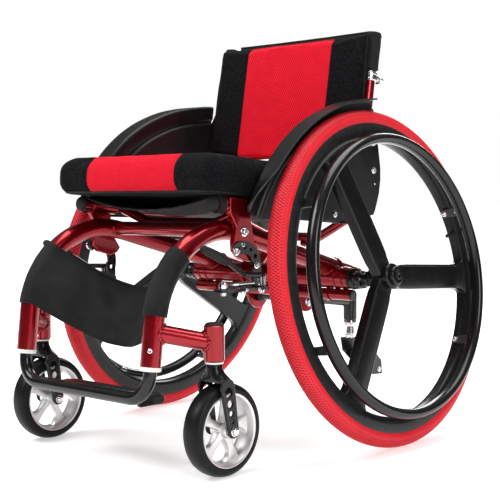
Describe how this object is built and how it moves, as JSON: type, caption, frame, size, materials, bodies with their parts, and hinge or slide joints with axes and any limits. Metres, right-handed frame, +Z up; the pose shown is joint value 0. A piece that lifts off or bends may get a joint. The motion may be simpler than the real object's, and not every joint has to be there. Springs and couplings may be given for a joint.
{
  "type": "manual wheelchair",
  "caption": "Rigid sports wheelchair with cambered drive wheels and handrims, swivelling front casters, sling seat, fold-down back, brakes, footrest and a centre anti-tip caster.",
  "frame": {"origin": "on the floor, under the middle of the bounding box", "axes": "+X to the sitter's left, +Y to the rear of the chair, +Z up; the sitter faces -Y"},
  "size_m": [0.7162, 0.8354, 0.7583],
  "materials": {
    "frame_red": "candy metallic red gloss",
    "tyre_red": "matt moulded rubber with a dotted tread",
    "fabric_red": "air mesh fabric with black side panels",
    "fabric_black": "woven nylon",
    "black_plastic": "satin moulded",
    "black_metal": "black semi-gloss coat",
    "rubber_black": "smooth",
    "silver": "machined and polished",
    "chrome": "polished plate"
  },
  "bodies": {
    "frame": {"left_main_tube": "frame_red", "right_main_tube": "frame_red", "left_caster_arm": "frame_red", "right_caster_arm": "frame_red", "left_seat_rail": "frame_red", "right_seat_rail": "frame_red", "left_seat_upright": "frame_red", "right_seat_upright": "frame_red", "left_side_guard": "black_plastic", "right_side_guard": "black_plastic", "left_axle_receiver": "black_metal", "right_axle_receiver": "black_metal", "left_brake_bracket": "black_metal", "right_brake_bracket": "black_metal", "left_back_post": "black_metal", "right_back_post": "black_metal", "front_cross_tube": "frame_red", "seat_front_cross_tube": "frame_red", "seat_rear_cross_tube": "frame_red", "axle_tube": "frame_red", "seat_sling": "fabric_black", "seat_cushion": "fabric_red", "calf_strap": "fabric_black", "anti_tip_arm": "black_metal"},
    "footrest": {"foot_tube": "black_metal", "foot_plate": "black_metal"},
    "left_wheel": {"left_drive_wheel": "black_plastic", "left_drive_tyre": "tyre_red", "left_handrim": "black_metal", "left_wheel_axle": "black_metal"},
    "left_release": {"left_release_button": "silver"},
    "left_caster": {"left_caster_fork": "black_plastic", "left_caster_axle": "silver"},
    "left_caster_wheel": {"left_caster_rim": "silver", "left_caster_tyre": "rubber_black"},
    "left_brake_lever": {"left_brake_lever": "black_metal"},
    "left_brake_shoe": {"left_brake_shoe": "chrome"},
    "right_wheel": {"right_drive_wheel": "black_plastic", "right_drive_tyre": "tyre_red", "right_handrim": "black_metal", "right_wheel_axle": "black_metal"},
    "right_release": {"right_release_button": "silver"},
    "right_caster": {"right_caster_fork": "black_plastic", "right_caster_axle": "silver"},
    "right_caster_wheel": {"right_caster_rim": "silver", "right_caster_tyre": "rubber_black"},
    "right_brake_lever": {"right_brake_lever": "black_metal"},
    "right_brake_shoe": {"right_brake_shoe": "chrome"},
    "back_frame": {"left_back_cane": "frame_red", "right_back_cane": "frame_red", "left_cane_clamp": "chrome", "right_cane_clamp": "chrome"},
    "back_panel": {"back_upholstery": "fabric_red", "left_cane_sleeve": "fabric_black", "right_cane_sleeve": "fabric_black"},
    "left_clamp_knob": {"left_clamp_knob": "chrome"},
    "right_clamp_knob": {"right_clamp_knob": "chrome"},
    "anti_tip_swivel": {"anti_tip_fork": "black_metal"},
    "anti_tip_roller": {"anti_tip_wheel": "rubber_black"}
  },
  "joints": [
    {"name": "footrest_height", "type": "slide", "parent": "frame", "child": "footrest", "axis": [0, 0.1219, 0.9925], "range_m": [-0.04, 0]},
    {"name": "left_wheel_spin", "type": "hinge", "parent": "frame", "child": "left_wheel", "pos_m": [0.271, 0.0697, 0.3012], "axis": [0.9897, 0, 0.1435], "continuous": true},
    {"name": "left_release_press", "type": "slide", "parent": "left_wheel", "child": "left_release", "axis": [-0.9897, 0, -0.1435], "range_m": [0, 0.003], "stiffness_N_per_m": 900},
    {"name": "left_caster_swivel", "type": "hinge", "parent": "frame", "child": "left_caster", "pos_m": [0.224, -0.3203, 0.2], "axis": [0, 0, 1], "continuous": true},
    {"name": "left_caster_spin", "type": "hinge", "parent": "left_caster", "child": "left_caster_wheel", "pos_m": [0.224, -0.3038, 0.07582], "axis": [1, 0, 0], "continuous": true},
    {"name": "left_brake_lever_turn", "type": "hinge", "parent": "frame", "child": "left_brake_lever", "pos_m": [0.204, -0.1853, 0.297], "axis": [0, 0, 1], "range_deg": [0, 35]},
    {"name": "left_brake_shoe_turn", "type": "hinge", "parent": "frame", "child": "left_brake_shoe", "pos_m": [0.197, -0.2703, 0.297], "axis": [0, 0, 1], "range_deg": [-45, 0]},
    {"name": "right_wheel_spin", "type": "hinge", "parent": "frame", "child": "right_wheel", "pos_m": [-0.271, 0.0697, 0.3012], "axis": [-0.9897, 0, 0.1435], "continuous": true},
    {"name": "right_release_press", "type": "slide", "parent": "right_wheel", "child": "right_release", "axis": [0.9897, 0, -0.1435], "range_m": [0, 0.003], "stiffness_N_per_m": 900},
    {"name": "right_caster_swivel", "type": "hinge", "parent": "frame", "child": "right_caster", "pos_m": [-0.224, -0.3203, 0.2], "axis": [0, 0, 1], "continuous": true},
    {"name": "right_caster_spin", "type": "hinge", "parent": "right_caster", "child": "right_caster_wheel", "pos_m": [-0.224, -0.3038, 0.07582], "axis": [1, 0, 0], "continuous": true},
    {"name": "right_brake_lever_turn", "type": "hinge", "parent": "frame", "child": "right_brake_lever", "pos_m": [-0.204, -0.1853, 0.297], "axis": [0, 0, 1], "range_deg": [-35, 0]},
    {"name": "right_brake_shoe_turn", "type": "hinge", "parent": "frame", "child": "right_brake_shoe", "pos_m": [-0.197, -0.2703, 0.297], "axis": [0, 0, 1], "range_deg": [0, 45]},
    {"name": "backrest_fold", "type": "hinge", "parent": "frame", "child": "back_frame", "pos_m": [0, 0.1157, 0.512], "axis": [1, 0, 0], "range_deg": [0, 85]},
    {"name": "backrest_height", "type": "slide", "parent": "back_frame", "child": "back_panel", "axis": [0, 0.1719, 0.9851], "range_m": [0, 0.05]},
    {"name": "left_clamp_knob_turn", "type": "hinge", "parent": "back_frame", "child": "left_clamp_knob", "pos_m": [0.184, 0.16276, 0.66824], "axis": [0, 0.9851, -0.1719], "range_deg": [0, 180]},
    {"name": "right_clamp_knob_turn", "type": "hinge", "parent": "back_frame", "child": "right_clamp_knob", "pos_m": [-0.184, 0.16276, 0.66824], "axis": [0, 0.9851, -0.1719], "range_deg": [0, 180]},
    {"name": "anti_tip_turn", "type": "hinge", "parent": "frame", "child": "anti_tip_swivel", "pos_m": [0, 0.3217, 0.18], "axis": [0, 0, 1], "continuous": true},
    {"name": "anti_tip_spin", "type": "hinge", "parent": "anti_tip_swivel", "child": "anti_tip_roller", "pos_m": [0, 0.3617, 0.09], "axis": [1, 0, 0], "continuous": true}
  ],
  "couplings": [
    {"joint": "left_brake_shoe_turn", "follows": "left_brake_lever_turn", "ratio": -1.2857},
    {"joint": "right_brake_shoe_turn", "follows": "right_brake_lever_turn", "ratio": -1.2857}
  ]
}
